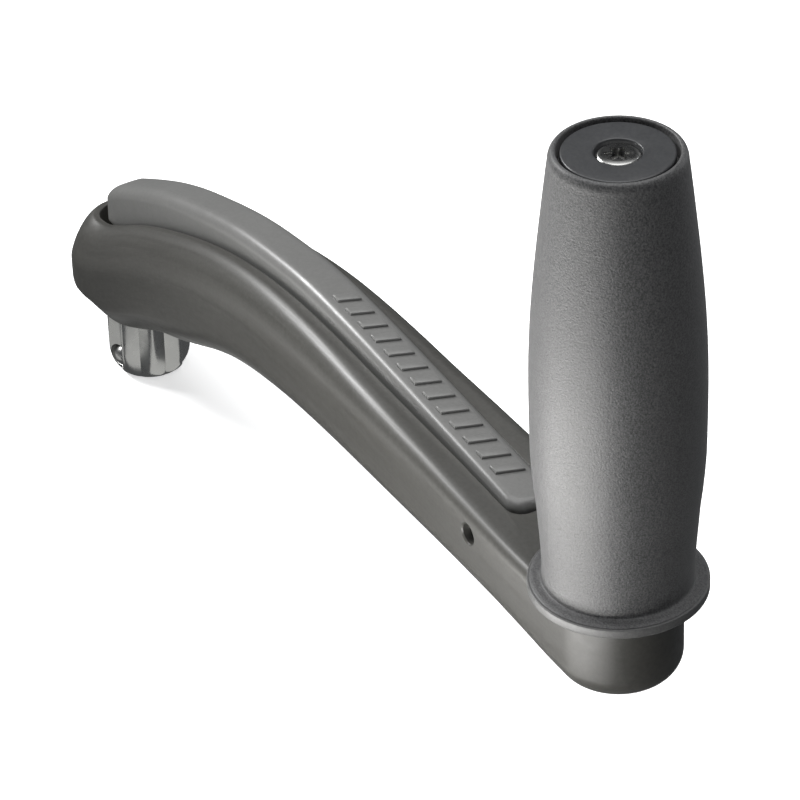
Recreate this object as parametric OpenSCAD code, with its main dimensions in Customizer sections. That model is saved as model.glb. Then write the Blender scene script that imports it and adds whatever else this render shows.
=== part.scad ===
/* [Arm] */
// Distance from the drive axis to the grip axis (254 mm is the ten inch size)
arm_length = 254; // [250:1:258]
// Half of the arm's width
arm_half_width = 16.1; // [15.8:0.1:16.5]
// Radius of the arm's lower edges
arm_bottom_round = 9; // [6:0.5:9]
// Half of the width of the pocket that the lever lies in
pocket_half_width = 7; // [6.8:0.05:7.2]

/* [Drive spigot] */
// Width across the flats of each of the star's two squares (11/16 inch)
star_flats = 17.46; // [17.3:0.01:17.5]
// Radius to which the star's points are cut back
star_point_radius = 12; // [11.8:0.05:12.2]
// Length of the star, part of it inside the arm
star_length = 22; // [21:0.5:23]
// Radius of the round shank above the star
shank_radius = 8.48; // [8.4:0.01:8.48]
// Height of the locking balls' centres above the tip
ball_height = 4.75; // [4.7:0.01:4.8]
// Radius of each locking ball (quarter inch ball)
ball_radius = 3.17; // [3.1:0.01:3.17]
// Distance of each ball's centre from the drive axis, locked
ball_offset = 8; // [8:0.05:8.1]

/* [Lever] */
// Half of the lever's width
lever_half_width = 6.5; // [6.2:0.05:6.5]
// Distance from the drive axis to the lever's pivot
pivot_x = 209; // [207:1:211]
// Height of the lever's pivot above the spigot's tip
pivot_z = 71; // [70.5:0.5:71.5]
// Radius of the pivot pin
pivot_pin_radius = 2.5; // [2.2:0.05:2.5]

/* [Grip] */
// Height of the grip's lower face above the spigot's tip
grip_base = 77.3; // [77.3:0.1:77.5]
// Radius of the flange round the foot of the grip
flange_radius = 22.35; // [21.5:0.05:23]
// Radius of the barrel at its widest point
barrel_radius = 21.35; // [20.5:0.05:21.5]
// Height of the top of the grip above the spigot's tip
grip_top = 201; // [200.8:0.1:201.5]
// Radius of the round cap in the top of the grip
cap_radius = 13.5; // [13:0.05:13.6]
// Radius of the spindle that the grip turns on
spindle_radius = 7; // [6.9:0.01:7]

/* [Hidden] */
$fn = 96;

head_x = -11.4;      // centre of the round head end
slit = 0.02;       // clearance of a pressed fit
dowel_z = 21.9;    // height of the dowel that holds the spigot in the arm
pocket_end = 216.9;    // end of the lever's pocket at the grip
pocket_corner = 4.5;   // radius of that end's two corners

// Stations along the arm: [x, height]
ARM_BOTTOM = [[-30, 25], [-24, 21], [-19, 18], [-15, 16.2], [-11, 15.3], [-6, 15],
    [0, 15.8], [6, 17.7], [12, 20.5], [19, 23.5], [31, 28.7], [43, 33.4], [56, 39.1],
    [68, 44.1], [80, 48.1], [93, 50.9], [108, 52.9], [121, 53.9], [140, 54.5], [165, 54.6],
    [195, 54.6], [218, 54.2], [233, 53.5], [246, 52.8], [256, 52.6], [272, 52.6]];
// Radius of the arm's lower edges as a share of arm_bottom_round
BOTTOM_ROUND = [[-30, 0.96], [-14, 0.88], [0, 0.98], [25, 1], [90, 1], [150, 0.92],
    [220, 0.82], [250, 0.72], [272, 0.72]];
// How straight the lower edges are: 1 is a round, 2 a chamfer
LOW_SHAPE = [[-30, 2.4], [-17, 2.4], [-10, 2.2], [0, 1.5], [12, 1.1], [25, 1.4], [60, 1], [272, 1]];
// How straight the leaning part of the side is: 1 is an ellipse, 2 a chamfer
ARM_LEAN_SHAPE = [[-30, 1.575], [0, 1.35], [40, 1.25], [110, 1.15], [170, 1], [272, 1]];
ARM_TOP = [[-30, 43], [-20, 44], [-8, 45], [2, 49.5], [14, 56], [27, 61.9], [42, 67.8],
    [59, 73.5], [74, 77.4], [89, 80.1], [104, 81.6], [119, 82], [135, 81.6], [152, 80.7],
    [172, 79.9], [192, 79], [212, 77.7], [226, 76.9], [236, 76.8], [272, 76.8]];
// How far the arm's upper edge leans in, and how deep the leaning part is
ARM_LEAN = [[-30, 6.4], [-12, 7.4], [60, 7.1], [100, 6.8], [150, 6], [180, 4.6],
    [210, 3.6], [235, 3], [272, 3]];
ARM_LEAN_DEPTH = [[-30, 13.8], [-5, 13], [60, 13], [110, 10], [160, 7], [200, 4.6],
    [235, 3.6], [272, 3.2]];
// Floor of the pocket under the lever
POCKET_FLOOR = [[-22, 36.5], [9, 36.5], [15, 41], [21, 45.6], [32, 51.6],
    [47, 57.2], [58, 60.2], [77, 64], [90, 65.3], [105, 66], [126, 65.8],
    [147, 65.3], [167, 64.8], [187, 64], [209, 62.8], [230, 62.4]];
LEVER_TOP = [[-9.3, 56], [-3, 59.1], [7, 63.9], [19, 69.2], [32, 74], [47, 78.4],
    [58, 81.3], [68, 83.5], [78, 85.1], [91, 86.6], [103, 87.5], [115, 87.6], [126, 87.1],
    [136, 86.5], [147, 85.6], [167, 83.9], [187, 82.1], [203, 80.6], [216, 79.2]];
LEVER_BOTTOM = [[-8, 44.8], [8, 44.8], [14, 47.6], [21, 51.2], [32, 56.5],
    [47, 61.6], [58, 64.5], [77, 68], [90, 69.1], [105, 69.4], [126, 68.7],
    [147, 67.6], [167, 66.6], [187, 65.6], [209, 64.6], [222, 64.2]];
LEVER_ROUND = [[-9.3, 4], [60, 3.8], [110, 3.3], [160, 2.8], [216, 2.3]];
// Radius of the grip's barrel at each height
BARREL = [[80.2, 18.9], [84, 18.72], [90, 18.95], [96, 19.4], [102, 19.85],
    [108, 20.5], [116, 21.1], [124, 21.28], [131, 21.35], [138, 21.35], [146, 21.2],
    [158, 20.6], [172, 19.4], [186, 17.9], [196, 16.75], [198.6, 16.4]];

// Smooth curve through the stations of a table
function seg(t, x, i = 0) = (i >= len(t) - 2 || x < t[i + 1][0]) ? i : seg(t, x, i + 1);
function grad(t, i) = let (n = len(t), a = max(0, i - 1), b = min(n - 1, i + 1))
    (t[b][1] - t[a][1]) / (t[b][0] - t[a][0]);
function at(t, x) = let (i = seg(t, x), a = t[i], b = t[i + 1], h = b[0] - a[0],
    u = min(1, max(0, (x - a[0]) / h)), p = grad(t, i) * h, q = grad(t, i + 1) * h)
    (2 * pow(u, 3) - 3 * u * u + 1) * a[1] + (pow(u, 3) - 2 * u * u + u) * p
    + (3 * u * u - 2 * pow(u, 3)) * b[1] + (pow(u, 3) - u * u) * q;

// A closed skin through rings of equal count, each symmetric about y = 0
module skin(rings) {
    n = len(rings[0]);
    m = len(rings);
    pts = [for (r = rings) each r];
    side = [for (j = [0 : m - 2], i = [0 : n - 1])
        let (a = j * n + i, b = j * n + (i + 1) % n, c = a + n, d = b + n)
        each [[a, c, b], [b, c, d]]];
    function cap(o, up) = [for (i = [1 : n / 2 - 2])
        let (a = o + i, b = o + i + 1, c = o + n - i, d = o + n - i - 1)
        each (up ? [[a, c, d], [a, d, b]] : [[a, d, c], [a, b, d]])];
    function tip(o, up) = [up ? [o, o + n - 1, o + 1] : [o, o + 1, o + n - 1],
        up ? [o + n / 2 - 1, o + n / 2 + 1, o + n / 2] : [o + n / 2 - 1, o + n / 2, o + n / 2 + 1]];
    polyhedron(points = pts, faces = concat(side, cap(0, false), tip(0, false),
        cap((m - 1) * n, true), tip((m - 1) * n, true)), convexity = 8);
}
function ring(half) = concat(half,
    [for (i = [len(half) - 2 : -1 : 1]) [half[i][0], -half[i][1], half[i][2]]]);

// Plan of one ring of the arm. k counts the rings from the bottom to the top
arm_low = 5;
arm_up = 7;
function edge_r(x) = arm_bottom_round * at(BOTTOM_ROUND, x);
function low_p(a, x) = pow(max(0, a), at(LOW_SHAPE, x));
function lean_p(a, x) = pow(max(0, a), at(ARM_LEAN_SHAPE, x));
function arm_inset(x, k) = k <= arm_low
    ? edge_r(x) * (1 - low_p(sin(90 * k / arm_low), x))
    : at(ARM_LEAN, x) * (1 - lean_p(cos(90 * (k - arm_low - 1) / arm_up), x));
function arm_z(x, k) = k <= arm_low
    ? at(ARM_BOTTOM, x) + edge_r(x) * (1 - low_p(cos(90 * k / arm_low), x))
    : at(ARM_TOP, x) - at(ARM_LEAN_DEPTH, x) * (1 - lean_p(sin(90 * (k - arm_low - 1) / arm_up), x));
function arm_ring(k) = let (
    rh = arm_half_width - arm_inset(head_x, k),
    rg = arm_half_width - arm_inset(arm_length, k),
    plan = concat(
        [for (a = [0 : 9 : 81]) [head_x - rh * cos(a), rh * sin(a)]],
        [for (i = [0 : 36]) let (x = head_x + (arm_length - head_x) * i / 36)
            [x, arm_half_width - arm_inset(x, k)]],
        [for (a = [81 : -9 : 0]) [arm_length + rg * cos(a), rg * sin(a)]]))
    ring([for (p = plan) [p[0], p[1], arm_z(p[0], k)]]);

module pocket() {
    intersection() {
        translate([0, 0, 20]) linear_extrude(80) union() {
            translate([head_x, 0]) circle(r = pocket_half_width);
            translate([head_x, -pocket_half_width])
                square([pocket_end - pocket_corner - head_x, 2 * pocket_half_width]);
            translate([0, pocket_corner - pocket_half_width])
                square([pocket_end, 2 * (pocket_half_width - pocket_corner)]);
            for (s = [-1, 1]) translate([pocket_end - pocket_corner, s * (pocket_half_width - pocket_corner)])
                circle(r = pocket_corner);
        }
        rotate([90, 0, 0]) linear_extrude(40, center = true)
            polygon(concat([for (x = [-22 : 3 : 230]) [x, at(POCKET_FLOOR, x)]],
                [[230, 100], [-22, 100]]));
    }
}

module star(grow) {
    intersection() {
        union() for (a = [-22.5, 22.5]) rotate(a)
            square(star_flats + 2 * grow, center = true);
        circle(r = star_point_radius + grow);
    }
}

module arm_body() {
    color([0.27, 0.26, 0.25]) difference() {
        skin([for (k = [0 : arm_low + arm_up + 1]) arm_ring(k)]);
        pocket();
        // socket for the star, bore for the shank, way for the plunger's cap
        translate([0, 0, -1]) linear_extrude(star_length + 1 + slit) star(slit);
        translate([0, 0, 10]) cylinder(r = 8.5, h = 24);
        translate([0, 0, 33]) cylinder(r = 6.9, h = 8);
        // dowel hole from the head end
        translate([-32, 0, dowel_z]) rotate([0, 90, 0]) cylinder(r = 1.75 + slit, h = 27);
        // pivot pin's bore and its recessed ends
        translate([pivot_x, 0, pivot_z]) rotate([90, 0, 0])
            cylinder(r = pivot_pin_radius + slit, h = 60, center = true);
        for (s = [-1, 1]) translate([pivot_x, s * 13.6, pivot_z]) rotate([-90 * s, 0, 0])
            cylinder(r = 2.8, h = 10);
        // spindle socket, bolt hole and the bolt head's counterbore
        translate([arm_length, 0, 63]) cylinder(r = spindle_radius + slit, h = 20);
        translate([arm_length, 0, 55]) cylinder(r = 4.2, h = 20);
        translate([arm_length, 0, 40]) cylinder(r = 7.6, h = 18.5);
    }
}

module drive_spigot() {
    color([0.72, 0.72, 0.70]) difference() {
        union() {
            intersection() {
                linear_extrude(star_length) star(0);
                rotate_extrude() polygon([[0, 0], [9.3, 0], [10, 0.6], [10.7, 1.6], [11.3, 3],
                    [11.8, 5], [star_point_radius + 0.1, 7.5],
                    [star_point_radius + 0.1, star_length], [0, star_length]]);
            }
            translate([0, 0, star_length - 1]) cylinder(r = shank_radius, h = 33.9 - star_length + 1);
        }
        // blind bore for the plunger and the spring's seat above it
        translate([0, 0, 0.85]) cylinder(r = 4.65, h = 40);
        translate([0, 0, 24]) cylinder(r = 7.2, h = 20);
        // cross bore for the two locking balls
        translate([0, 0, ball_height]) rotate([90, 0, 0]) cylinder(r = 3.2, h = 30, center = true);
        // hole for the dowel
        translate([-20, 0, dowel_z]) rotate([0, 90, 0]) cylinder(r = 1.75 + slit, h = 16);
    }
}

module spigot_dowel()
    color([0.6, 0.6, 0.6]) translate([-19.5, 0, dowel_z]) rotate([0, 90, 0]) cylinder(r = 1.75, h = 13.5);

module lock_ball(side)
    color([0.78, 0.78, 0.76]) translate([0, side * ball_offset, ball_height]) sphere(r = ball_radius);
module lock_ball_left() lock_ball(-1);
module lock_ball_right() lock_ball(1);

module lock_plunger()
    color([0.66, 0.66, 0.66]) rotate_extrude() polygon([[0, 4.4], [4.6, 4.4], [4.6, 4.5],
        [3, 7.17], [3, 13], [3.4, 13.4], [4.6, 13.4], [4.6, 36], [3, 37.2], [3, 41], [0, 41]]);

module plunger_cap()
    color([0.55, 0.56, 0.57]) rotate_extrude() polygon(concat([[3, 41.02], [3, 38], [6.5, 38],
        [6.5, 41.6]], [for (i = [1 : 8]) [6.5 * (1 - i / 8), 44 - 1.2 * pow(1 - i / 8, 2)]],
        [[0, 41.02]]));

spring_turns = 5;
spring_low = 24.75;
spring_high = 37.35;
module plunger_spring() {
    wire = 0.6;
    mean = 6.25;
    sides = 8;
    steps = 20 * spring_turns;
    function ctr(i) = let (a = 360 * i / 20)
        [mean * cos(a), mean * sin(a), spring_low + (spring_high - spring_low) * i / steps];
    pts = [for (i = [0 : steps]) let (a = 360 * i / 20, c = ctr(i))
        for (j = [0 : sides - 1]) let (b = 360 * j / sides)
        c + wire * [cos(a) * cos(b), sin(a) * cos(b), sin(b)]];
    color([0.62, 0.62, 0.63]) polyhedron(points = pts, faces = concat(
        [for (i = [0 : steps - 1], j = [0 : sides - 1])
            let (a = i * sides + j, b = i * sides + (j + 1) % sides, c = a + sides, d = b + sides)
            each [[a, b, c], [b, d, c]]],
        [[for (j = [0 : sides - 1]) sides - 1 - j]],
        [[for (j = [0 : sides - 1]) steps * sides + j]]), convexity = 8);
}

// Plan and height of one ring of the lever
lev_low = 2;
lev_up = 6;
lever_start = -9.3;
lever_end = 215.7;
function lev_inset(x, k) = k <= lev_low ? 1 - sin(90 * k / lev_low)
    : at(LEVER_ROUND, x) * (1 - cos(90 * (k - lev_low - 1) / lev_up));
function lev_z(x, k) = k <= lev_low ? at(LEVER_BOTTOM, x) + 1 - cos(90 * k / lev_low)
    : at(LEVER_TOP, x) - at(LEVER_ROUND, x) * (1 - sin(90 * (k - lev_low - 1) / lev_up));
function lev_ring(k) = let (
    w = lever_half_width,
    dh = lev_inset(lever_start, k), dg = lev_inset(lever_end, k),
    ch = 1.2, cg = 4.4 - dg / 2,
    x0 = lever_start + dh, x1 = lever_end - dg,
    plan = concat(
        [[x0 - 0.3, 0]],
        [for (a = [0 : 30 : 90]) [x0 + ch * (1 - cos(a)), w - dh - ch * (1 - sin(a))]],
        [for (i = [1 : 39]) let (x = lever_start + 7 + (lever_end - lever_start - 13) * i / 40) [x, w - lev_inset(x, k)]],
        [for (a = [90 : -18 : 0]) [x1 - cg * (1 - cos(a)), w - dg - cg * (1 - sin(a))]],
        [[x1 + 0.3, 0]]))
    ring([for (p = plan) [p[0], p[1], lev_z(p[0], k)]]);

module lever() {
    color([0.47, 0.47, 0.46]) difference() {
        skin([for (k = [0 : lev_low + lev_up + 1]) lev_ring(k)]);
        translate([pivot_x, 0, pivot_z]) rotate([90, 0, 0]) cylinder(r = 3.4, h = 30, center = true);
        translate([0, 0, 40]) cylinder(r = 4.52, h = 7);
    }
}

module lever_pad()
    color([0.62, 0.62, 0.62]) translate([0, 0, 44.3]) cylinder(r = 4.5, h = 2.68);

module lever_bush()
    color([0.60, 0.47, 0.25]) translate([pivot_x, 0, pivot_z]) rotate([90, 0, 0]) difference() {
        cylinder(r = 3.38, h = 13, center = true);
        cylinder(r = pivot_pin_radius + 0.03, h = 20, center = true);
    }

module lever_pivot_pin()
    color([0.45, 0.45, 0.44]) translate([pivot_x, 0, pivot_z]) rotate([90, 0, 0]) difference() {
        cylinder(r = pivot_pin_radius, h = 27, center = true);
        for (s = [-1, 1]) translate([0, 0, s * 13.5]) cylinder(r = 1.2, h = 1.6, center = true);
    }

module grip_spindle() {
    color([0.66, 0.66, 0.65]) translate([arm_length, 0, 0]) difference() {
        union() {
            translate([0, 0, 63.02]) cylinder(r = spindle_radius, h = 133.68);
            translate([0, 0, 196.7]) cylinder(r1 = spindle_radius, r2 = spindle_radius - 0.4, h = 0.4);
        }
        translate([0, 0, 60]) cylinder(r = 4, h = 25);
        translate([0, 0, 178]) cylinder(r = 2.5, h = 25);
    }
}

module spindle_bolt() {
    color([0.58, 0.58, 0.58]) translate([arm_length, 0, 0]) difference() {
        union() {
            translate([0, 0, 57]) cylinder(r = 3.97, h = 25);
            translate([0, 0, 53.2]) cylinder(r = 6.5, h = 3.85);
        }
        translate([0, 0, 52]) cylinder(r = 3.45, h = 3.6, $fn = 6);
    }
}

module spindle_washer()
    color([0.66, 0.66, 0.65]) translate([arm_length, 0, 57.06]) difference() {
        cylinder(r = 7.4, h = 1.42);
        translate([0, 0, -1]) cylinder(r = 4.15, h = 4);
    }

module bush(z, h) {
    translate([arm_length, 0, z]) difference() {
        cylinder(r = 8.98, h = h);
        translate([0, 0, -1]) cylinder(r = spindle_radius + 0.04, h = h + 2);
    }
}
module lower_bush() color([0.86, 0.85, 0.80]) bush(78.12, 18);
module upper_bush() color([0.86, 0.85, 0.80]) bush(178, 18);

module washer(z, r, h)
    translate([arm_length, 0, z]) difference() {
        cylinder(r = r, h = h);
        translate([0, 0, -1]) cylinder(r = spindle_radius + 0.1, h = h + 2);
    }
module lower_thrust_washer() color([0.9, 0.89, 0.84]) washer(76.82, 12, 1.2);
module upper_thrust_washer() color([0.9, 0.89, 0.84]) washer(196.05, 11.5, 0.95);

module grip_core() {
    color([0.16, 0.16, 0.17]) translate([arm_length, 0, 0]) difference() {
        union() {
            translate([0, 0, grip_base]) cylinder(r = flange_radius, h = 1.2);
            translate([0, 0, grip_base]) cylinder(r = 12, h = 196 - grip_base);
        }
        translate([0, 0, 70]) cylinder(r = 9, h = 140);
        translate([0, 0, 70]) cylinder(r = 12.4 - 0.2, h = 8.1);
    }
}

module grip_cover() {
    color([0.24, 0.24, 0.25]) translate([arm_length, 0, 0]) difference() {
        rotate_extrude() polygon(concat(
            [[0, grip_base + 1.22], [flange_radius - 0.5, grip_base + 1.22], [flange_radius, grip_base + 1.6],
             [flange_radius, grip_base + 2.3], [flange_radius - 0.55, 80.2], [20.2, 80.45], [19.3, 81.2]],
            [for (z = [83 : 4 : 195]) [at(BARREL, z) * barrel_radius / 21.35, z]],
            [for (a = [0 : 22.5 : 90]) [14.9 + (at(BARREL, 198.4) * barrel_radius / 21.35 - 14.9) * cos(a), 198.4 + (grip_top - 198.4) * sin(a)]],
            [[0, grip_top]]));
        translate([0, 0, 70]) cylinder(r = 12.03, h = 140);
        translate([0, 0, 196.2]) cylinder(r = 14.5, h = 10);
    }
}

module end_cap() {
    color([0.20, 0.21, 0.23]) translate([arm_length, 0, 0]) difference() {
        rotate_extrude() polygon([[0, 197.12], [cap_radius - 0.3, 197.12], [cap_radius, 197.5],
            [cap_radius, 199.9], [cap_radius - 0.5, 200.4], [0, 200.4]]);
        translate([0, 0, 198.7]) cylinder(r = 5.8, h = 4);
        translate([0, 0, 190]) cylinder(r = 2.7, h = 20);
    }
}

module cap_screw() {
    color([0.6, 0.6, 0.58]) translate([arm_length, 0, 0]) difference() {
        union() {
            translate([0, 0, 182]) cylinder(r = 2.47, h = 17);
            translate([0, 0, 198.72]) cylinder(r = 5.3, h = 0.8);
            translate([0, 0, 199.52]) cylinder(r1 = 5.3, r2 = 4.4, h = 0.6);
        }
        for (a = [0, 60, 120]) rotate(a) translate([-3, -0.75, 199]) cube([6, 1.5, 3]);
        translate([0, 0, 199]) cylinder(r = 2.2, h = 3);
    }
}

arm_body();
drive_spigot();
spigot_dowel();
lock_ball_left();
lock_ball_right();
lock_plunger();
plunger_cap();
plunger_spring();
lever();
lever_pad();
lever_bush();
lever_pivot_pin();
grip_spindle();
spindle_bolt();
spindle_washer();
lower_bush();
upper_bush();
lower_thrust_washer();
upper_thrust_washer();
grip_core();
grip_cover();
end_cap();
cap_screw();
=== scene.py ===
import math

import bmesh
import bpy
from mathutils import Matrix, Vector


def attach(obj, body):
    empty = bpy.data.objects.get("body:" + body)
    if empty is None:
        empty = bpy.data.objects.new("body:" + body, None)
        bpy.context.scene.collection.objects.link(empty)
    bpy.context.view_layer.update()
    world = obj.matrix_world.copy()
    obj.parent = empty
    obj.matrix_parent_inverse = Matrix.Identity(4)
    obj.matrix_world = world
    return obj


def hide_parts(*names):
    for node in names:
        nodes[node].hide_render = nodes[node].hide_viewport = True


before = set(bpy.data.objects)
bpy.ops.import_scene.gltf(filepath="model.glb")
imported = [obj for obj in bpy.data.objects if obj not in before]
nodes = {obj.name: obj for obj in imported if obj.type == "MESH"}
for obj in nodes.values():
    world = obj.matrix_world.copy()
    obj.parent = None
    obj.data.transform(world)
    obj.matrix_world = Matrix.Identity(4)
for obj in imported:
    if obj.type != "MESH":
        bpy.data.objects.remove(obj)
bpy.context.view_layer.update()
scene = bpy.context.scene
MM = 0.001

# ------------------------------------------------------------------ camera
CAM_POS = Vector((1.05024, -0.50336, 0.77200))
CAM_RIGHT = Vector((0.50234772, 0.8642707, -0.0261328))
CAM_UP = Vector((-0.47488601, 0.30102691, 0.82696196))
CAM_FWD = Vector((-0.72258567, 0.40301235, -0.56165024))
cam_data = bpy.data.cameras.new("camera")
cam_data.sensor_width = 36.0
cam_data.lens = 4797.0 / 800.0 * 36.0
cam_data.clip_start = 0.05
cam_data.clip_end = 20.0
camera = bpy.data.objects.new("camera", cam_data)
scene.collection.objects.link(camera)
rot = Matrix((CAM_RIGHT, CAM_UP, -CAM_FWD)).transposed()
camera.matrix_world = Matrix.Translation(CAM_POS) @ rot.to_4x4()
scene.camera = camera

# ------------------------------------------------------------------ curves shared with the CAD
ARM_L = 254.0
HALF_W = 16.1
POCKET_W = 7.0
HEAD_X = -11.4
POCKET_END = 216.9
POCKET_CORNER = 4.5
LEVER_ENDS = (-9.3, 215.7)
DOWEL_Z = 21.9
ARM_BOTTOM = [(-30, 25), (-24, 21), (-19, 18), (-15, 16.2), (-11, 15.3), (-6, 15), (0, 15.8),
              (6, 17.7), (12, 20.5), (19, 23.5), (31, 28.7), (43, 33.4), (56, 39.1), (68, 44.1),
              (80, 48.1), (93, 50.9), (108, 52.9), (121, 53.9), (140, 54.5), (165, 54.6),
              (195, 54.6), (218, 54.2), (233, 53.5), (246, 52.8), (256, 52.6), (272, 52.6)]
BOTTOM_ROUND = [(-30, 0.96), (-14, 0.88), (0, 0.98), (25, 1), (90, 1), (150, 0.92), (220, 0.82),
                (250, 0.72), (272, 0.72)]
LOW_SHAPE = [(-30, 2.4), (-17, 2.4), (-10, 2.2), (0, 1.5), (12, 1.1), (25, 1.4), (60, 1), (272, 1)]
LEAN_SHAPE = [(-30, 1.575), (0, 1.35), (40, 1.25), (110, 1.15), (170, 1), (272, 1)]
ARM_TOP = [(-30, 43), (-20, 44), (-8, 45), (2, 49.5), (14, 56), (27, 61.9), (42, 67.8), (59, 73.5),
           (74, 77.4), (89, 80.1), (104, 81.6), (119, 82), (135, 81.6), (152, 80.7), (172, 79.9),
           (192, 79), (212, 77.7), (226, 76.9), (236, 76.8), (272, 76.8)]
ARM_LEAN = [(-30, 6.4), (-12, 7.4), (60, 7.1), (100, 6.8), (150, 6), (180, 4.6), (210, 3.6),
            (235, 3), (272, 3)]
LEAN_DEPTH = [(-30, 13.8), (-5, 13), (60, 13), (110, 10), (160, 7), (200, 4.6), (235, 3.6),
              (272, 3.2)]
POCKET_FLOOR = [(-22, 36.5), (9, 36.5), (15, 41), (21, 45.6), (32, 51.6),
                (47, 57.2), (58, 60.2), (77, 64), (90, 65.3), (105, 66), (126, 65.8),
                (147, 65.3), (167, 64.8), (187, 64), (209, 62.8), (230, 62.4)]
LEVER_TOP = [(-9.3, 56), (-3, 59.1), (7, 63.9), (19, 69.2), (32, 74), (47, 78.4), (58, 81.3),
             (68, 83.5), (78, 85.1), (91, 86.6), (103, 87.5), (115, 87.6), (126, 87.1),
             (136, 86.5), (147, 85.6), (167, 83.9), (187, 82.1), (203, 80.6), (216, 79.2)]
LEVER_BOTTOM = [(-8, 44.8), (8, 44.8), (14, 47.6), (21, 51.2), (32, 56.5),
                (47, 61.6), (58, 64.5), (77, 68), (90, 69.1), (105, 69.4), (126, 68.7),
                (147, 67.6), (167, 66.6), (187, 65.6), (209, 64.6), (222, 64.2)]
LEVER_ROUND = [(-9.3, 4), (60, 3.8), (110, 3.3), (160, 2.8), (216, 2.3)]
BARREL = [(80.2, 18.9), (84, 18.72), (90, 18.95), (96, 19.4), (102, 19.85),
          (108, 20.5), (116, 21.1), (124, 21.28), (131, 21.35), (138, 21.35), (146, 21.2),
          (158, 20.6), (172, 19.4), (186, 17.9), (196, 16.75), (198.6, 16.4)]


def at(t, x):
    i = 0
    while i < len(t) - 2 and x >= t[i + 1][0]:
        i += 1

    def grad(j):
        a, b = max(0, j - 1), min(len(t) - 1, j + 1)
        return (t[b][1] - t[a][1]) / (t[b][0] - t[a][0])
    h = t[i + 1][0] - t[i][0]
    u = min(1.0, max(0.0, (x - t[i][0]) / h))
    p, q = grad(i) * h, grad(i + 1) * h
    return ((2 * u**3 - 3 * u * u + 1) * t[i][1] + (u**3 - 2 * u * u + u) * p
            + (3 * u * u - 2 * u**3) * t[i + 1][1] + (u**3 - u * u) * q)


def sind(a):
    return math.sin(math.radians(a))


def cosd(a):
    return math.cos(math.radians(a))


# ------------------------------------------------------------------ mesh helpers
def new_obj(name, verts, faces, smooth_angle=35.0):
    me = bpy.data.meshes.new(name)
    me.from_pydata([(v[0] * MM, v[1] * MM, v[2] * MM) for v in verts], [], faces)
    me.validate()
    ob = bpy.data.objects.new(name, me)
    scene.collection.objects.link(ob)
    bm = bmesh.new()
    bm.from_mesh(me)
    bmesh.ops.remove_doubles(bm, verts=bm.verts, dist=1e-6)
    bmesh.ops.recalc_face_normals(bm, faces=bm.faces)
    bm.to_mesh(me)
    bm.free()
    shade(ob, smooth_angle)
    return ob


def shade(ob, angle=35.0):
    me = ob.data
    for p in me.polygons:
        p.use_smooth = True
    me.set_sharp_from_angle(angle=math.radians(angle))


def ring_full(half):
    return half + [(p[0], -p[1], p[2]) for p in half[-2:0:-1]]


def skin(name, rings, cap_low=True, cap_high=True, angle=35.0, strips=1):
    n = len(rings[0])
    verts = [p for r in rings for p in r]
    faces = []
    for j in range(len(rings) - 1):
        for i in range(n):
            a, b = j * n + i, j * n + (i + 1) % n
            faces.append((a, b, b + n, a + n))

    def cap(o):
        h = n // 2
        if strips <= 1:
            for i in range(1, h - 1):
                faces.append((o + i, o + i + 1, o + n - i - 1, o + n - i))
            faces.append((o, o + 1, o + n - 1))
            faces.append((o + h - 1, o + h, o + h + 1))
            return
        rows = {}
        for i in range(1, h):
            a, b = verts[o + i], verts[o + n - i]
            row = [o + i]
            for s in range(1, strips):
                t = s / strips
                verts.append(tuple(a[c] * (1 - t) + b[c] * t for c in range(3)))
                row.append(len(verts) - 1)
            row.append(o + n - i)
            rows[i] = row
        for i in range(1, h - 1):
            for s in range(strips):
                faces.append((rows[i][s], rows[i + 1][s], rows[i + 1][s + 1], rows[i][s + 1]))
        faces.append(tuple([o] + rows[1]))
        faces.append(tuple([o + h] + rows[h - 1][::-1]))
    if cap_low:
        cap(0)
    if cap_high:
        cap((len(rings) - 1) * n)
    return new_obj(name, verts, faces, angle)


def lathe(name, profile, cx=0.0, cy=0.0, segs=128, closed=False, angle=35.0):
    """profile: [(r, z)] in mm from one end of the skin to the other; r = 0 closes it."""
    verts, faces, rows = [], [], []
    for r, z in profile:
        if r <= 1e-9:
            verts.append((cx, cy, z))
            rows.append([len(verts) - 1])
        else:
            base = len(verts)
            for s in range(segs):
                a = 2 * math.pi * s / segs
                verts.append((cx + r * math.cos(a), cy + r * math.sin(a), z))
            rows.append(list(range(base, base + segs)))
    pairs = list(zip(rows[:-1], rows[1:]))
    if closed:
        pairs.append((rows[-1], rows[0]))
    for a, b in pairs:
        for s in range(segs):
            t = (s + 1) % segs
            if len(a) == 1 and len(b) == 1:
                continue
            if len(a) == 1:
                faces.append((a[0], b[s], b[t]))
            elif len(b) == 1:
                faces.append((a[s], a[t], b[0]))
            else:
                faces.append((a[s], a[t], b[t], b[s]))
    return new_obj(name, verts, faces, angle)


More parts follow.
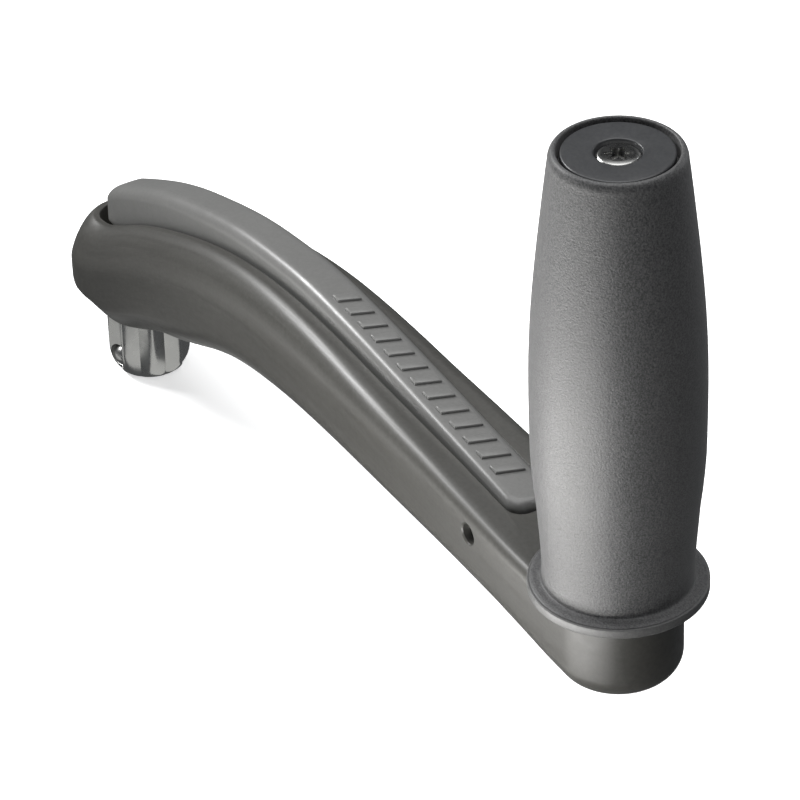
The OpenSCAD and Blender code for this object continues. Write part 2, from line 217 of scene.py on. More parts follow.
def rounded(points, radius, steps=5):
    """Rounds the corners of an open polyline. radius is one number or one for each point."""
    out = [points[0]]
    n = len(points)
    for i in range(1, n - 1):
        r = radius[i] if isinstance(radius, (list, tuple)) else radius
        p, a, b = Vector(points[i]), Vector(points[i - 1]), Vector(points[i + 1])
        if r <= 0:
            out.append(tuple(p))
            continue
        u, v = (a - p), (b - p)
        lu, lv = u.length, v.length
        u.normalize()
        v.normalize()
        ang = u.angle(v)
        if ang > math.radians(176):
            out.append(tuple(p))
            continue
        d = min(r / math.tan(ang / 2), lu * 0.49, lv * 0.49)
        rr = d * math.tan(ang / 2)
        c = p + (u + v).normalized() * (rr / math.sin(ang / 2))
        s, e = p + u * d, p + v * d
        a0, a1 = math.atan2(s.y - c.y, s.x - c.x), math.atan2(e.y - c.y, e.x - c.x)
        while a1 - a0 > math.pi:
            a1 -= 2 * math.pi
        while a1 - a0 < -math.pi:
            a1 += 2 * math.pi
        for k in range(steps + 1):
            t = a0 + (a1 - a0) * k / steps
            out.append((c.x + rr * math.cos(t), c.y + rr * math.sin(t)))
    out.append(points[-1])
    return out


def boolean(ob, cutters, op="DIFFERENCE"):
    for c in cutters:
        m = ob.modifiers.new("b", "BOOLEAN")
        m.operation = op
        m.solver = "EXACT"
        m.object = c
    bpy.context.view_layer.update()
    dg = bpy.context.evaluated_depsgraph_get()
    me = bpy.data.meshes.new_from_object(ob.evaluated_get(dg))
    ob.modifiers.clear()
    old = ob.data
    ob.data = me
    bpy.data.meshes.remove(old)
    for c in cutters:
        d = c.data
        bpy.data.objects.remove(c)
        bpy.data.meshes.remove(d)
    bm = bmesh.new()
    bm.from_mesh(ob.data)
    bmesh.ops.remove_doubles(bm, verts=bm.verts, dist=2e-6)
    bmesh.ops.dissolve_degenerate(bm, edges=bm.edges, dist=1e-6)
    bm.to_mesh(ob.data)
    bm.free()
    return ob


def turn(ob, matrix):
    ob.data.transform(matrix)
    return ob


def rod(name, profile, matrix, segs=64):
    """A lathe body about Z, then moved by matrix (metres)."""
    return turn(lathe(name, profile, segs=segs), matrix)


# ------------------------------------------------------------------ materials
def material(name, base, rough=0.5, metal=0.0, spec=0.5, coat=0.0, coat_rough=0.2, sheen=0.0):
    m = bpy.data.materials.new(name)
    m.use_nodes = True
    nt = m.node_tree
    nt.nodes.clear()
    out = nt.nodes.new("ShaderNodeOutputMaterial")
    sh = nt.nodes.new("ShaderNodeBsdfPrincipled")
    nt.links.new(sh.outputs[0], out.inputs[0])
    sh.inputs["Base Color"].default_value = (*base, 1)
    sh.inputs["Roughness"].default_value = rough
    sh.inputs["Metallic"].default_value = metal
    sh.inputs["Specular IOR Level"].default_value = spec
    sh.inputs["Coat Weight"].default_value = coat
    sh.inputs["Coat Roughness"].default_value = coat_rough
    sh.inputs["Sheen Weight"].default_value = sheen
    return m, nt, sh


def coords(nt, scale=(1, 1, 1), rotate=(0, 0, 0)):
    tc = nt.nodes.new("ShaderNodeTexCoord")
    mp = nt.nodes.new("ShaderNodeMapping")
    mp.inputs["Scale"].default_value = scale
    mp.inputs["Rotation"].default_value = rotate
    nt.links.new(tc.outputs["Object"], mp.inputs["Vector"])
    return mp.outputs[0]


def noise(nt, vec, scale, detail=4.0, rough=0.55, dist=0.0):
    n = nt.nodes.new("ShaderNodeTexNoise")
    n.inputs["Scale"].default_value = scale
    n.inputs["Detail"].default_value = detail
    n.inputs["Roughness"].default_value = rough
    n.inputs["Distortion"].default_value = dist
    nt.links.new(vec, n.inputs["Vector"])
    return n.outputs["Fac"]


def voronoi(nt, vec, scale, feature="F1"):
    n = nt.nodes.new("ShaderNodeTexVoronoi")
    n.feature = feature
    n.inputs["Scale"].default_value = scale
    nt.links.new(vec, n.inputs["Vector"])
    return n.outputs["Distance"]


def ramp(nt, fac, stops):
    r = nt.nodes.new("ShaderNodeValToRGB")
    el = r.color_ramp.elements
    el[0].position, el[0].color = stops[0][0], (*stops[0][1], 1)
    el[1].position, el[1].color = stops[-1][0], (*stops[-1][1], 1)
    for p, c in stops[1:-1]:
        e = el.new(p)
        e.color = (*c, 1)
    nt.links.new(fac, r.inputs[0])
    return r.outputs[0]


def spread(nt, fac, lo, hi):
    r = nt.nodes.new("ShaderNodeMapRange")
    r.inputs["From Min"].default_value = 0.3
    r.inputs["From Max"].default_value = 0.7
    r.inputs["To Min"].default_value = lo
    r.inputs["To Max"].default_value = hi
    nt.links.new(fac, r.inputs["Value"])
    return r.outputs[0]


def math_node(nt, op, a, b):
    n = nt.nodes.new("ShaderNodeMath")
    n.operation = op
    for i, v in enumerate((a, b)):
        if isinstance(v, (int, float)):
            n.inputs[i].default_value = v
        else:
            nt.links.new(v, n.inputs[i])
    return n.outputs[0]


def mix(nt, fac, a, b, mode="MIX"):
    n = nt.nodes.new("ShaderNodeMix")
    n.data_type = "RGBA"
    n.blend_type = mode
    if isinstance(fac, (int, float)):
        n.inputs[0].default_value = fac
    else:
        nt.links.new(fac, n.inputs[0])
    for i, v in ((6, a), (7, b)):
        if isinstance(v, tuple):
            n.inputs[i].default_value = (*v, 1)
        else:
            nt.links.new(v, n.inputs[i])
    return n.outputs[2]


def bump(nt, sh, height, strength, distance, after=None):
    b = nt.nodes.new("ShaderNodeBump")
    b.inputs["Strength"].default_value = strength
    b.inputs["Distance"].default_value = distance
    nt.links.new(height, b.inputs["Height"])
    if after is not None:
        nt.links.new(after, b.inputs["Normal"])
    nt.links.new(b.outputs[0], sh.inputs["Normal"])
    return b.outputs[0]


# Mask from pointiness, 1 on sharp convex edges; the materials mix a lighter colour there.
def convex_edge_lightening(nt, lo=0.51, hi=0.6):
    g = nt.nodes.new("ShaderNodeNewGeometry")
    r = nt.nodes.new("ShaderNodeMapRange")
    r.inputs["From Min"].default_value = lo
    r.inputs["From Max"].default_value = hi
    nt.links.new(g.outputs["Pointiness"], r.inputs["Value"])
    return r.outputs[0]


def arm_material():
    m, nt, sh = material("arm_satin_anodised", (0.05, 0.049, 0.044), rough=0.42, metal=0.0, spec=0.5)
    v = coords(nt)
    cloud = noise(nt, v, 26, 3)
    fine = noise(nt, v, 900, 3, 0.6)
    c = ramp(nt, cloud, [(0.3, (0.043, 0.042, 0.038)), (0.7, (0.053, 0.052, 0.047))])
    c2 = ramp(nt, fine, [(0.3, (0.036, 0.035, 0.032)), (0.7, (0.062, 0.061, 0.056))])
    c = mix(nt, 0.5, c, c2)
    # colour turns lighter (0.11) on sharp convex edges
    w = math_node(nt, "MULTIPLY", convex_edge_lightening(nt), 0.35)
    c = mix(nt, w, c, (0.11, 0.108, 0.1))
    nt.links.new(c, sh.inputs["Base Color"])
    flow = nt.nodes.new("ShaderNodeAttribute")
    flow.attribute_name = "flow"
    fm = nt.nodes.new("ShaderNodeMapping")
    fm.inputs["Scale"].default_value = (9, 300, 300)
    nt.links.new(flow.outputs["Vector"], fm.inputs["Vector"])
    streak = noise(nt, fm.outputs[0], 1.6, 4, 0.6)
    nt.links.new(spread(nt, streak, 0.34, 0.5), sh.inputs["Roughness"])
    b = bump(nt, sh, fine, 0.16, 0.00006)
    bump(nt, sh, noise(nt, v, 160, 2), 0.06, 0.0002, after=b)
    return m


def lever_material():
    m, nt, sh = material("lever_satin_moulded", (0.2, 0.2, 0.196), rough=0.4, spec=0.5)
    v = coords(nt)
    fine = noise(nt, v, 1100, 3, 0.6)
    cloud = noise(nt, v, 30, 3)
    c = ramp(nt, cloud, [(0.3, (0.125, 0.125, 0.121)), (0.7, (0.145, 0.145, 0.141))])
    c2 = ramp(nt, fine, [(0.3, (0.115, 0.115, 0.112)), (0.7, (0.158, 0.157, 0.153))])
    c = mix(nt, 0.4, c, c2)
    # colour turns lighter (0.24) on sharp convex edges
    w = math_node(nt, "MULTIPLY", convex_edge_lightening(nt, 0.52, 0.62), 0.4)
    c = mix(nt, w, c, (0.24, 0.24, 0.235))
    nt.links.new(c, sh.inputs["Base Color"])
    nt.links.new(spread(nt, noise(nt, v, 260, 3), 0.31, 0.39), sh.inputs["Roughness"])
    bump(nt, sh, fine, 0.15, 0.00005)
    return m


def rubber_material():
    m, nt, sh = material("grip_fine_grain_rubber", (0.05, 0.05, 0.052), rough=0.55, spec=0.5, sheen=0.1)
    v = coords(nt)
    grain = voronoi(nt, v, 1900)
    grain2 = noise(nt, v, 2100, 2, 0.7)
    cloud = noise(nt, v, 35, 3)
    c = ramp(nt, cloud, [(0.3, (0.042, 0.042, 0.043)), (0.7, (0.05, 0.05, 0.051))])
    c2 = ramp(nt, grain2, [(0.36, (0.012, 0.012, 0.013)), (0.64, (0.125, 0.125, 0.126))])
    c = mix(nt, 0.55, c, c2)
    nt.links.new(c, sh.inputs["Base Color"])
    nt.links.new(spread(nt, grain2, 0.42, 0.62), sh.inputs["Roughness"])
    h = math_node(nt, "ADD", math_node(nt, "MULTIPLY", grain, 0.8), math_node(nt, "MULTIPLY", grain2, 0.9))
    bump(nt, sh, h, 0.38, 0.00013)
    return m


def core_material():
    m, nt, sh = material("flange_moulded_plastic", (0.16, 0.16, 0.16), rough=0.45, spec=0.5)
    v = coords(nt)
    fine = noise(nt, v, 1500, 2, 0.6)
    c = ramp(nt, fine, [(0.3, (0.07, 0.07, 0.07)), (0.7, (0.1, 0.1, 0.099))])
    nt.links.new(c, sh.inputs["Base Color"])
    nt.links.new(spread(nt, noise(nt, v, 300, 3), 0.4, 0.52), sh.inputs["Roughness"])
    bump(nt, sh, fine, 0.2, 0.00005)
    return m


def cap_material():
    m, nt, sh = material("cap_satin_plastic", (0.045, 0.05, 0.056), rough=0.38, spec=0.45)
    v = coords(nt)
    fine = noise(nt, v, 1300, 2, 0.6)
    c = ramp(nt, fine, [(0.3, (0.029, 0.03, 0.032)), (0.7, (0.041, 0.042, 0.044))])
    nt.links.new(c, sh.inputs["Base Color"])
    nt.links.new(spread(nt, noise(nt, v, 200, 3), 0.33, 0.43), sh.inputs["Roughness"])
    bump(nt, sh, fine, 0.15, 0.00004)
    return m


def steel_material(name, base, r0, r1, stretch=(1, 1, 1), strength=0.05):
    m, nt, sh = material(name, base, rough=r0, metal=1.0)
    v = coords(nt, stretch)
    n = noise(nt, v, 400, 4)
    lo = tuple(x * 0.9 for x in base)
    c = ramp(nt, noise(nt, v, 60, 3), [(0.3, lo), (0.7, base)])
    nt.links.new(c, sh.inputs["Base Color"])
    nt.links.new(spread(nt, n, r0, r1), sh.inputs["Roughness"])
    bump(nt, sh, n, strength, 0.00003)
    return m


def screw_material():
    m, nt, sh = material("screw_blackened", (0.12, 0.12, 0.118), rough=0.3, metal=1.0)
    v = coords(nt)
    n = noise(nt, v, 500, 3)
    c = ramp(nt, noise(nt, v, 90, 3), [(0.3, (0.1, 0.1, 0.1)), (0.7, (0.15, 0.15, 0.147))])
    # Painted highlight: the colour ramps from the dark base at z 199.9 mm to light grey (0.42) below z 199.7 mm, so the
    # star recess and the head's lower rim are painted bright in place of the light they catch.
    sep = nt.nodes.new("ShaderNodeSeparateXYZ")
    nt.links.new(v, sep.inputs[0])
    low = nt.nodes.new("ShaderNodeMapRange")
    low.inputs["From Min"].default_value = 0.19988
    low.inputs["From Max"].default_value = 0.1997
    nt.links.new(sep.outputs["Z"], low.inputs["Value"])
    c = mix(nt, low.outputs[0], c, (0.42, 0.42, 0.41))
    nt.links.new(c, sh.inputs["Base Color"])
    nt.links.new(spread(nt, n, 0.22, 0.34), sh.inputs["Roughness"])
    bump(nt, sh, n, 0.08, 0.00003)
    return m


def floor_material():
    m, nt, sh = material("floor_pale", (0.9, 0.9, 0.9), rough=0.9, spec=0.0)
    c = ramp(nt, noise(nt, coords(nt), 5, 2), [(0.3, (0.9, 0.9, 0.9)), (0.7, (0.915, 0.915, 0.915))])
    nt.links.new(c, sh.inputs["Base Color"])
    sh.inputs["Emission Color"].default_value = (1, 1, 1, 1)
    sh.inputs["Emission Strength"].default_value = 0.6
    return m


MAT = {
    "arm": arm_material(),
    "lever": lever_material(),
    "rubber": rubber_material(),
    "core": core_material(),
    "cap": cap_material(),
    "chrome": steel_material("spigot_polished", (0.54, 0.54, 0.525), 0.24, 0.34),
    "steel": steel_material("steel_turned", (0.5, 0.5, 0.49), 0.25, 0.38, (1, 1, 8), 0.1),
    "screw": screw_material(),
    "bronze": steel_material("bush_bronze", (0.52, 0.37, 0.19), 0.3, 0.42),
    "bearing": core_material(),
}


def paint(ob, mat):
    ob.data.materials.clear()
    ob.data.materials.append(mat)


def place(ob, body, mat, slot, *replaced):
    paint(ob, mat)
    if replaced:
        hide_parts(*replaced)
    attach(ob, body)
    return ob


# ------------------------------------------------------------------ arm
def edge_r(x):
    return 9.0 * at(BOTTOM_ROUND, x)


def build_arm():
    na = 20
    arc = [90.0 * i / na for i in range(na)]
    ns = 130
    xs = [HEAD_X + (ARM_L - HEAD_X) * i / ns for i in range(ns + 1)]
    levels = []
    for i in range(15):
        a = 90.0 * i / 14
        levels.append(("low", a))
    for i in range(1, 5):
        levels.append(("side", i / 5))
    for i in range(21):
        levels.append(("up", 90.0 * i / 20))

    def inset(x, lv):
        kind, t = lv
        if kind == "low":
            return edge_r(x) * (1 - max(0.0, sind(t)) ** at(LOW_SHAPE, x))
        if kind == "side":
            return 0.0
        return at(ARM_LEAN, x) * (1 - max(0.0, cosd(t)) ** at(LEAN_SHAPE, x))

    def height(x, lv):
        kind, t = lv
        zb = at(ARM_BOTTOM, x)
        if kind == "low":
            return zb + edge_r(x) * (1 - max(0.0, cosd(t)) ** at(LOW_SHAPE, x))
        zs = at(ARM_TOP, x) - at(LEAN_DEPTH, x)
        if kind == "side":
            z0 = zb + edge_r(x)
            return z0 + (zs - z0) * t
        return at(ARM_TOP, x) - at(LEAN_DEPTH, x) * (1 - max(0.0, sind(t)) ** at(LEAN_SHAPE, x))

    rings = []
    for lv in levels:
        rh = HALF_W - inset(HEAD_X, lv)
        rg = HALF_W - inset(ARM_L, lv)
        plan = [(HEAD_X - rh * cosd(a), rh * sind(a)) for a in arc]
        plan += [(x, HALF_W - inset(x, lv)) for x in xs]
        plan += [(ARM_L + rg * cosd(a), rg * sind(a)) for a in arc[::-1]]
        rings.append(ring_full([(x, y, height(x, lv)) for x, y in plan]))
    # the pocket's mouth, in the same order of points
    rim = 0.45

    def mouth(grow):
        w, r = POCKET_W + grow, POCKET_CORNER + grow
        straight, flat = POCKET_END - POCKET_CORNER, POCKET_W - POCKET_CORNER
        pts = [(HEAD_X - w * cosd(a), w * sind(a)) for a in arc]
        pts += [(HEAD_X + (straight - HEAD_X) * i / ns, w) for i in range(ns + 1)]
        for i in range(na):
            if i < 14:
                a = 90.0 * (13 - i) / 14
                pts.append((straight + r * cosd(a), flat + r * sind(a)))
            else:
                pts.append((POCKET_END + grow, flat * (na - 1 - i) / 6))
        return pts
    top_out = rings[-1][:len(mouth(0))]
    m_out = mouth(rim)
    for s in (0.33, 0.67, 1.0):
        half = []
        for p, q in zip(top_out, m_out):
            x, y = p[0] * (1 - s) + q[0] * s, p[1] * (1 - s) + q[1] * s
            half.append((x, y, at(ARM_TOP, x)))
        rings.append(ring_full(half))
    for a in (30, 60, 90):
        g = rim * (1 - sind(a))
        half = [(x, y, at(ARM_TOP, x) - rim * (1 - cosd(a))) for x, y in mouth(g)]
        rings.append(ring_full(half))
    for s in (0.25, 0.5, 0.75, 1.0):
        half = []
        for x, y in mouth(0):
            zt, zf = at(ARM_TOP, x) - rim, at(POCKET_FLOOR, x)
            half.append((x, y, zt + (zf - zt) * s))
        rings.append(ring_full(half))
    arm = skin("arm_body_visual", rings, angle=42, strips=2)
    cut = []
    # pivot pin's bore with recessed, chamfered ends
    for s in (-1, 1):
        cut.append(rod("cut", [(0, 5.0), (2.52, 5.0), (2.52, 13.6), (2.8, 13.6), (2.8, 15.7), (3.2, 16.1), (3.7, 16.6), (3.7, 18), (0, 18)],
                       Matrix.Translation((0.209, 0, 0.071)) @ Matrix.Rotation(math.radians(-90 * s), 4, "X")))
    # spindle socket and the bolt's counterbore
    cut.append(lathe("cut", [(0, 63), (7.02, 63), (7.02, 80), (0, 80)], ARM_L, 0, 96))
    cut.append(lathe("cut", [(0, 45), (8.6, 45), (8.6, 52.3), (7.6, 53.3), (7.6, 58.5), (4.2, 58.5), (4.2, 64), (0, 64)], ARM_L, 0, 96))
    cut.append(rod("cut", [(0, -32), (1.77, -32), (1.77, -5), (0, -5)],
                   Matrix.Translation((0, 0, DOWEL_Z * MM)) @ Matrix.Rotation(math.radians(90), 4, "Y"), 32))
    cut.append(lathe("cut", [(0, 20), (8.5, 20), (8.5, 34), (6.9, 34), (6.9, 41), (0, 41)], 0, 0, 96))
    cut.append(star_prism("cut", -5, 22.02, 0.02))
    boolean(arm, cut)
    shade(arm, 42)
    # a direction that follows the curved body, for the finish's fine lines
    att = arm.data.attributes.new("flow", "FLOAT_VECTOR", "POINT")
    for k, p in enumerate(arm.data.vertices):
        x = p.co.x / MM
        att.data[k].vector = (p.co.x, p.co.y, p.co.z - at(ARM_TOP, x) * MM)
    return arm


# ------------------------------------------------------------------ star spigot
STAR_A = 17.46 / 2
STAR_R = 12.0
TIP = [(0, 9.3), (0.6, 10.0), (1.6, 10.7), (3, 11.3), (5, 11.8), (7.5, 12.1), (22, 12.1)]


def star_radius(theta_deg, grow=0.0, soft=0.0):
    """Radius of the star's outline; points stand at 22.5 + 45 k degrees."""
    d = abs((theta_deg - 22.5 + 22.5) % 45 - 22.5)      # 0 at a point, 22.5 in a valley
    r = (STAR_A + grow) / cosd(45 - d)
    if soft:
        k = 14.0
        cap = STAR_R + grow
        return -math.log(math.exp(-k * r / 4) + math.exp(-k * cap / 4)) * 4 / k
    return min(r, STAR_R + grow)


def star_prism(name, z0, z1, grow):
    n = 240
    verts, faces = [], []
    for z in (z0, z1):
        for i in range(n):
            a = 360.0 * i / n
            r = star_radius(a, grow)
            verts.append((r * cosd(a), r * sind(a), z))
    for i in range(n):
        j = (i + 1) % n
        faces.append((i, j, n + j, n + i))
    faces.append(tuple(range(n - 1, -1, -1)))
    faces.append(tuple(range(n, 2 * n)))
    return new_obj(name, verts, faces)


def build_spigot():
    n = 480
    zs = [0, 0.15, 0.35, 0.6, 1, 1.6, 2.3, 3, 4, 5, 6.2, 7.5, 9, 11, 13, 15, 17, 19, 22]
    verts, faces = [], []

    def env(z):
        for (a, ra), (b, rb) in zip(TIP[:-1], TIP[1:]):
            if a <= z <= b:
                return ra + (rb - ra) * (z - a) / (b - a)
        return 12.1
    rows = []
    for z in zs:
        base = len(verts)
        for i in range(n):
            a = 360.0 * i / n
            k = 3.5
            r0, r1 = star_radius(a, 0, 1), env(z)
            r = min(r0, -math.log(math.exp(-k * r0) + math.exp(-k * r1)) / k + 0.02)
            verts.append((r * cosd(a), r * sind(a), z))
        rows.append(base)
    for a, b in zip(rows[:-1], rows[1:]):
        for i in range(n):
            j = (i + 1) % n
            faces.append((a + i, a + j, b + j, b + i))
    # tip face and top face, in rings so that the shading stays clean
    for base, z, flip in ((rows[0], 0.0, True), (rows[-1], 22.0, False)):
        prev = base
        for r in (8.2, 4.5):
            nb = len(verts)
            for i in range(n):
                a = 360.0 * i / n
                verts.append((r * cosd(a), r * sind(a), z))
            for i in range(n):
                j = (i + 1) % n
                f = (prev + i, prev + j, nb + j, nb + i)
                faces.append(f)
            prev = nb
        verts.append((0, 0, z))
        c = len(verts) - 1
        for i in range(n):
            faces.append((prev + i, prev + (i + 1) % n, c))
    star = new_obj("drive_spigot_visual", verts, faces, 38)
    shank = lathe("shank", [(0, 21), (8.48, 21), (8.48, 33.5), (8.08, 33.9), (0, 33.9)], segs=96)
    boolean(star, [shank], "UNION")
    cut = [lathe("cut", [(0, 0.85), (4.65, 0.85), (4.65, 23), (4.65, 24), (7.2, 24), (7.2, 40), (0, 40)], segs=96)]
    for s in (-1, 1):
        cut.append(rod("cut", [(0, 3.0), (3.2, 3.0), (3.2, 9.2), (3.7, 10.1), (3.7, 14), (0, 14)],
                       Matrix.Translation((0, 0, 0.00475)) @ Matrix.Rotation(math.radians(-90 * s), 4, "X"), 64))
    cut.append(rod("cut", [(0, -20), (1.77, -20), (1.77, -4.2), (0, -4.2)],
                   Matrix.Translation((0, 0, DOWEL_Z * MM)) @ Matrix.Rotation(math.radians(90), 4, "Y"), 32))
    boolean(star, cut)
    shade(star, 38)
    return star


# ------------------------------------------------------------------ lever
def build_lever():
    w = 6.5
    x_start, x_end = LEVER_ENDS
    levels = [("low", 90.0 * i / 4) for i in range(5)]
    levels += [("side", i / 6) for i in range(1, 6)]
    levels += [("up", 90.0 * i / 14) for i in range(15)]

    def inset(x, lv):
        kind, t = lv
        if kind == "low":
            return 1 - sind(t)
        if kind == "side":
            return 0.0
        return at(LEVER_ROUND, x) * (1 - cosd(t))

    def height(x, lv):
        kind, t = lv
        if kind == "low":
            return at(LEVER_BOTTOM, x) + 1 - cosd(t)
        z0, z1 = at(LEVER_BOTTOM, x) + 1, at(LEVER_TOP, x) - at(LEVER_ROUND, x)
        if kind == "side":
            return z0 + (z1 - z0) * t
        return at(LEVER_TOP, x) - at(LEVER_ROUND, x) * (1 - sind(t))

    rings = []
    n = 150
    for lv in levels:
        dh, dg = inset(x_start, lv), inset(x_end, lv)
        ch, cg = 1.2, 4.4 - dg / 2
        x0, x1 = x_start + dh, x_end - dg
        plan = [(x0 - 0.3, 0.0)]
        plan += [(x0 - 0.3 * (1 - (i / 4) ** 2), (w - dh - ch) * i / 4) for i in (1, 2, 3)]
        plan += [(x0 + ch * (1 - cosd(a)), w - dh - ch * (1 - sind(a))) for a in (0, 22.5, 45, 67.5, 90)]
        plan += [(x_start + 6 + 212.5 * i / n, None) for i in range(n + 1) if x_start + 6 + 212.5 * i / n < x_end - 6.2]
        plan = [(x, w - inset(x, lv)) if y is None else (x, y) for x, y in plan]
        plan += [(x1 - cg * (1 - cosd(a)), w - dg - cg * (1 - sind(a))) for a in (90, 78, 66, 54, 42, 30, 18, 8, 0)]
        plan += [(x1 + 0.3 * (1 - (i / 3) ** 2), (w - dg - cg) * i / 3) for i in (2, 1)]
        plan += [(x1 + 0.3, 0.0)]
        rings.append(ring_full([(x, y, height(x, lv)) for x, y in plan]))
    lever = skin("lever_visual", rings, angle=40, strips=2)
    # plain raised ribs along the flat top
    for i in range(13):
        x = 121.0 + 6.75 * i
        z = at(LEVER_TOP, x)
        slope = (at(LEVER_TOP, x + 1) - at(LEVER_TOP, x - 1)) / 2
        hw = 6.5 - at(LEVER_ROUND, x) - 0.35
        lean = 1.1
        verts, faces = [], []
        layers = ((0.0, -0.6), (0.0, 0.4), (0.1, 0.6), (0.26, 0.74), (0.5, 0.8))
        for g, dz in layers:
            for (u, v) in ((-1, -1), (1, -1), (1, 1), (-1, 1)):
                cx = u * (1.5 - g) + v * lean
                cy = v * (hw - g)
                verts.append((x + cx - slope * dz, cy, z + cx * slope + dz))
        for k in range(len(layers) - 1):
            for c in range(4):
                d = (c + 1) % 4
                faces.append((k * 4 + c, k * 4 + d, (k + 1) * 4 + d, (k + 1) * 4 + c))
        faces.append((3, 2, 1, 0))
        k = (len(layers) - 1) * 4
        faces.append((k, k + 1, k + 2, k + 3))
        rib = new_obj("rib", verts, faces, 30)
        boolean(lever, [rib], "UNION")
    cut = [rod("cut", [(0, -10), (3.4, -10), (3.4, 10), (0, 10)],
               Matrix.Translation((0.209, 0, 0.071)) @ Matrix.Rotation(math.radians(90), 4, "X"), 48),
           lathe("cut", [(0, 40), (4.52, 40), (4.52, 47), (0, 47)], segs=48)]
    boolean(lever, cut)
    shade(lever, 40)
    return lever


# ------------------------------------------------------------------ grip
def build_grip():
    prof = [(12.03, 79.9), (21.55, 79.9), (21.75, 80.0)]
    outer = [(21.75, 80.0), (21.5, 80.2), (20.3, 80.5), (19.3, 80.72), (18.95, 80.95), (18.82, 81.4), (18.8, 82.0)]
    prof += outer[1:]
    z = 83.2
    while z < 197.6:
        prof.append((at(BARREL, z), z))
        z += 2.0
    re = at(BARREL, 198.2)
    for a in range(0, 91, 9):
        prof.append((14.95 + (re - 14.95) * cosd(a), 198.2 + 2.8 * sind(a)))
    prof += [(14.7, 200.93), (14.53, 200.7), (14.5, 200.3), (14.5, 196.2), (12.03, 196.2)]
    cover = lathe("grip_cover_visual", prof, ARM_L, 0, 192, closed=True, angle=50)
    core_prof = rounded([(12.2, 77.3), (22.35, 77.3), (22.35, 79.88), (12.0, 79.88), (12.0, 196.0), (9.0, 196.0), (9.0, 78.1), (12.2, 78.1), (12.2, 77.3)],
                        [0, 0.4, 0.35, 0, 0, 0, 0, 0, 0], 4)
    core = lathe("grip_core_visual", core_prof[:-1], ARM_L, 0, 192, closed=True, angle=40)
    cap_prof = rounded([(0, 197.12), (13.2, 197.12), (13.5, 197.5), (13.5, 200.4), (5.8, 200.4), (5.55, 198.7), (2.7, 198.7), (2.7, 197.12)],
                       [0, 0, 0, 0.5, 0.45, 0.3, 0, 0], 5)
    cap_prof = cap_prof[1:]
    cap = lathe("end_cap_visual", cap_prof, ARM_L, 0, 160, closed=True, angle=40)
    return cover, core, cap


def build_screw():
    head = rounded([(0, 182), (2.1, 182), (2.47, 182.4), (2.47, 198.72), (5.2, 198.72), (5.3, 199.2), (4.7, 199.75), (3.6, 199.95), (0, 200.05)],
                   [0, 0, 0, 0, 0.15, 0.3, 0.3, 0.6, 0], 4)
    screw = lathe("cap_screw_visual", head, ARM_L, 0, 96, angle=35)
    n = 96
    verts, faces = [], []
    levels = ((197.9, 0.0), (199.75, 0.0), (200.3, 0.45))
    for z, grow in levels:
        for i in range(n):
            a = 360.0 * i / n
            r = 2.35 + 0.75 * math.cos(math.radians(6 * a)) + grow
            verts.append((ARM_L + r * cosd(a), r * sind(a), z))
    for k in range(len(levels) - 1):
        for i in range(n):
            j = (i + 1) % n
            faces.append((k * n + i, k * n + j, (k + 1) * n + j, (k + 1) * n + i))
    faces.append(tuple(range(n - 1, -1, -1)))
    faces.append(tuple(range((len(levels) - 1) * n, len(levels) * n)))
    star = new_obj("cut", verts, faces)
    boolean(screw, [star])
    shade(screw, 35)
    return screw


def build_ball(name, y):
    bm = bmesh.new()
    bmesh.ops.create_icosphere(bm, subdivisions=5, radius=3.17 * MM)
    # a worn contact ring: the ball is very slightly flattened where it bears
    for v in bm.verts:
        if abs(v.co.y) > 3.15 * MM:
            v.co.y *= 0.9995
    me = bpy.data.meshes.new(name)
    bm.to_mesh(me)
    bm.free()
    me.transform(Matrix.Translation((0, y * MM, 4.75 * MM)))
    ob = bpy.data.objects.new(name, me)
    scene.collection.objects.link(ob)
    shade(ob, 60)
    return ob


arm = place(build_arm(), "arm", MAT["arm"], "arm_alloy", "arm_body")
spigot = place(build_spigot(), "arm", MAT["chrome"], "spigot_steel", "drive_spigot")
lever = place(build_lever(), "lever", MAT["lever"], "lever_plastic", "lever")
cover, core, cap = build_grip()
place(cover, "grip", MAT["rubber"], "grip_rubber", "grip_cover")
place(core, "grip", MAT["core"], "core_plastic", "grip_core")
place(cap, "arm", MAT["cap"], "cap_plastic", "end_cap")
place(build_screw(), "arm", MAT["screw"], "steel_small", "cap_screw")
place(build_ball("lock_ball_left_visual", -8), "ball_left", MAT["chrome"], "spigot_steel", "lock_ball_left")
place(build_ball("lock_ball_right_visual", 8), "ball_right", MAT["chrome"], "spigot_steel", "lock_ball_right")

for name, key in {"spigot_dowel": "steel", "lock_plunger": "steel", "plunger_cap": "steel", "plunger_spring": "steel",
                  "lever_pad": "steel", "lever_bush": "bronze", "lever_pivot_pin": "steel", "grip_spindle": "steel",
                  "spindle_bolt": "steel", "spindle_washer": "steel", "lower_bush": "bearing", "upper_bush": "bearing",
                  "lower_thrust_washer": "bearing", "upper_thrust_washer": "bearing"}.items():
    paint(nodes[name], MAT[key])
    for p in nodes[name].data.polygons:
        p.material_index = 0

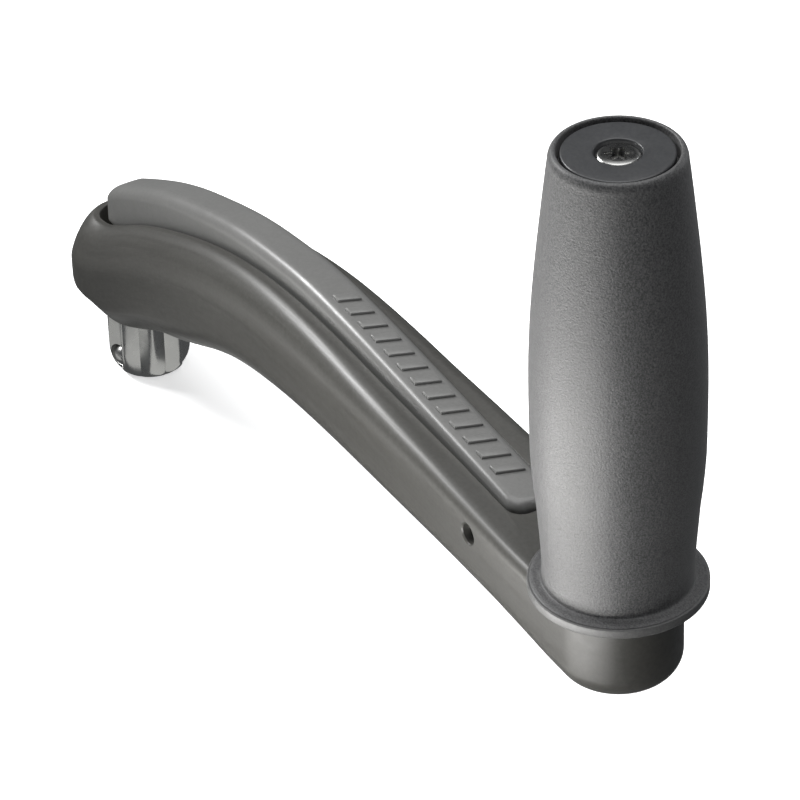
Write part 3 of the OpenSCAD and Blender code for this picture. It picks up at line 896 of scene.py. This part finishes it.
# ------------------------------------------------------------------ floor and light
fs = 6.0
n = 8
fv = [(-fs + 2 * fs * i / n, -fs + 2 * fs * j / n, -0.0006) for j in range(n + 1) for i in range(n + 1)]
ff = [(j * (n + 1) + i, j * (n + 1) + i + 1, (j + 1) * (n + 1) + i + 1, (j + 1) * (n + 1) + i) for j in range(n) for i in range(n)]
fme = bpy.data.meshes.new("floor")
fme.from_pydata(fv, [], ff)
floor = bpy.data.objects.new("floor", fme)
scene.collection.objects.link(floor)
paint(floor, floor_material())
floor.visible_diffuse = False
floor.visible_glossy = False

world = bpy.data.worlds.new("studio")
scene.world = world
world.use_nodes = True
bg = world.node_tree.nodes["Background"]
bg.inputs[0].default_value = (0.93, 0.96, 1.0, 1)
bg.inputs[1].default_value = 0.12


def area(name, place_at, look_at, size, power, colour=(1, 1, 1)):
    d = bpy.data.lights.new(name, "AREA")
    d.shape = "RECTANGLE"
    d.size, d.size_y = size
    d.energy = power
    d.color = colour
    o = bpy.data.objects.new(name, d)
    scene.collection.objects.link(o)
    o.location = place_at
    o.rotation_euler = (Vector(look_at) - Vector(place_at)).to_track_quat("-Z", "Y").to_euler()
    o.visible_camera = False
    return o


area("top", (0.1, 0.1, 2.2), (0.12, 0, 0), (2.4, 2.4), 56, (1, 1, 1))
area("low_up", (0.26, -0.19, 0.004), (0.26, -0.19, 1), (0.27, 0.19), 1.75, (1.0, 0.99, 0.97))
area("low_wide", (0.12, -0.3, 0.003), (0.12, -0.3, 1), (0.6, 0.34), 1.5, (1.0, 1.0, 0.98))
area("head_front", (0.027, -0.007, 0.0005), (0.027, -0.007, 1), (0.034, 0.026), 0.0016, (1.0, 1.0, 0.98))
area("head_side", (-0.008, -0.03, 0.0005), (-0.008, -0.03, 1), (0.024, 0.03), 0.0011, (1.0, 1.0, 0.98))
area("back_left", (-1.05, -0.62, 0.98), (0.1, 0, 0.08), (0.4, 0.22), 23, (1, 1, 1))
area("rim_right", (0.1, 1.5, 0.45), (0.2, 0, 0.1), (0.3, 0.9), 2.4, (0.96, 0.98, 1.0))
scene.view_settings.view_transform = "Standard"
